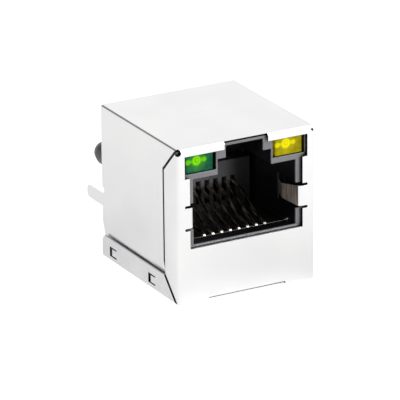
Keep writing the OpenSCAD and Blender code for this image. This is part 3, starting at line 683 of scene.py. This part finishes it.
# %% Paper floor
PAPER_SIZE = 4
FLOOR_GAP = 0.01 * MM  # keeps the paper's face and the cover's from lying in one plane
CAMERA_EXTRA = 0.4  # more of the glow, which only the camera sees
NEAR, FAR = 2 * MM, 21 * MM  # the paper turns pale between these distances from the foot
GREYEST, PALEST = 0.23, 0.37
cover_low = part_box("cover")[0]
foot = (case_high.x + 3 * MM, case_low.y - 4 * MM, 0)  # in front of the jack's right foot

bpy.ops.object.select_all(action="DESELECT")
bpy.ops.mesh.primitive_plane_add(size=PAPER_SIZE, location=(0, 0, cover_low.z - FLOOR_GAP))
floor = bpy.context.object
floor.name = "floor"
print("floor at z =", round((cover_low.z - FLOOR_GAP) / MM, 2), "mm")

# %% Paper finish
floor_paint = bpy.data.materials.new("matt white paper, rolled")
floor_paint.use_nodes = True
tree = floor_paint.node_tree
tree.nodes.clear()
rays = add(tree, "ShaderNodeLightPath").outputs
seen = add(tree, "ShaderNodeMath", {"operation": "MAXIMUM"}, in_0=rays["Is Camera Ray"],
           in_1=rays["Is Glossy Ray"]).outputs[0]
seen = add(tree, "ShaderNodeMath", {"operation": "MAXIMUM"}, in_0=seen,
           in_1=rays["Is Transmission Ray"]).outputs[0]
direct = add(tree, "ShaderNodeMath", {"operation": "MULTIPLY"}, in_0=rays["Is Camera Ray"],
             in_1=CAMERA_EXTRA).outputs[0]
# Painted shadow: the paper is greyer near the foot, so the port face, which mirrors it, darkens towards it.
ground = add(tree, "ShaderNodeTexCoord").outputs["Object"]
away = add(tree, "ShaderNodeVectorMath", {"operation": "DISTANCE"}, in_0=ground, in_1=foot).outputs["Value"]
paleness = add(tree, "ShaderNodeMapRange", {"interpolation_type": "SMOOTHSTEP"}, Value=away,
               From_Min=NEAR, From_Max=FAR, To_Min=GREYEST, To_Max=PALEST).outputs["Result"]
strength = add(tree, "ShaderNodeMath", {"operation": "MULTIPLY_ADD"}, in_0=seen, in_1=paleness,
               in_2=direct).outputs[0]
glow = add(tree, "ShaderNodeEmission", Color=(1, 1, 1, 1), Strength=strength).outputs[0]
paper = add(tree, "ShaderNodeBsdfDiffuse", Color=(0.8, 0.8, 0.8, 1)).outputs[0]
both = add(tree, "ShaderNodeAddShader", in_0=glow, in_1=paper).outputs[0]
add(tree, "ShaderNodeOutputMaterial", Surface=both)
floor.data.materials.append(floor_paint)
print("floor finish:", floor_paint.name)

# %% [markdown]
# ## Studio walls
# Shiny sheet shows mostly what stands around it, so the walls matter more than the lamps. They could
# be real planes. The world does it here, because it casts no shadows of its own. It gives the jack a
# soft light, it is plain white to the camera and through glass, and mirrors see white walls with one
# dark flag.
# The flag hangs behind and to the left, and folds that face it read as a fine dark line.

# %% World
SOFT_LIGHT = 0.52
FLAG = Vector((-0.3486, 0.8231, 0.4484)).normalized()
FLAG_EDGE = [(0.93, "#ffffff"), (0.975, "#6a6a6c")]  # by how nearly a mirrored ray points at it
world = bpy.data.worlds.new("studio")
bpy.context.scene.world = world
world.use_nodes = True
tree = world.node_tree
tree.nodes.clear()
rays = add(tree, "ShaderNodeLightPath").outputs
direction = add(tree, "ShaderNodeTexCoord").outputs["Generated"]
facing = add(tree, "ShaderNodeVectorMath", {"operation": "DOT_PRODUCT"}, in_0=direction,
             in_1=FLAG).outputs["Value"]
mirrored = add(tree, "ShaderNodeValToRGB", {"stops": FLAG_EDGE}, Fac=facing).outputs["Color"]
light = add(tree, "ShaderNodeBackground", Color=(1, 1, 1, 1), Strength=SOFT_LIGHT).outputs[0]
wall = add(tree, "ShaderNodeBackground", Color=mirrored, Strength=1.0).outputs[0]
white = add(tree, "ShaderNodeBackground", Color=(1, 1, 1, 1), Strength=1.0).outputs[0]
lit = add(tree, "ShaderNodeMixShader", Fac=rays["Is Glossy Ray"], in_1=light, in_2=wall).outputs[0]
clear = add(tree, "ShaderNodeMath", {"operation": "MAXIMUM"}, in_0=rays["Is Camera Ray"],
            in_1=rays["Is Transmission Ray"]).outputs[0]
surround = add(tree, "ShaderNodeMixShader", Fac=clear, in_1=lit, in_2=white).outputs[0]
add(tree, "ShaderNodeOutputWorld", Surface=surround)
print("soft light from the walls:", SOFT_LIGHT)

# %% [markdown]
# ## Softboxes
# Four square softboxes shape the light. The key lights the port face from the front right, the left
# one and the fill lighten the left side, and the top one lights the upper panel. Small lamps could do
# it, but their shadows would have hard edges. A lamp shines along its own -Z, so the +Z of each is
# turned away from the case.

# %% Softboxes
SOFTBOXES = [  # name, place and size in metres, and power in watts
    ("key", (0.11, -0.24, 0.11), 0.07, 0.3),
    ("left", (-0.30, -0.06, 0.14), 0.2, 0.02),
    ("fill", (-0.12, -0.30, 0.10), 0.1, 0.1),
    ("top", (0.134, -0.104, 0.247), 0.12, 0.12),
]
for name, place, size, watts in SOFTBOXES:
    lamp = bpy.data.objects.new(name + "_softbox", bpy.data.lights.new(name, "AREA"))
    bpy.context.scene.collection.objects.link(lamp)
    lamp.data.shape = "SQUARE"
    lamp.data.size = size
    lamp.data.energy = watts
    lamp.location = place
    lamp.rotation_euler = (Vector(place) - AIM).to_track_quat("Z", "Y").to_euler()
bpy.context.scene.view_settings.view_transform = "Standard"
print("softboxes:", [softbox[0] for softbox in SOFTBOXES])
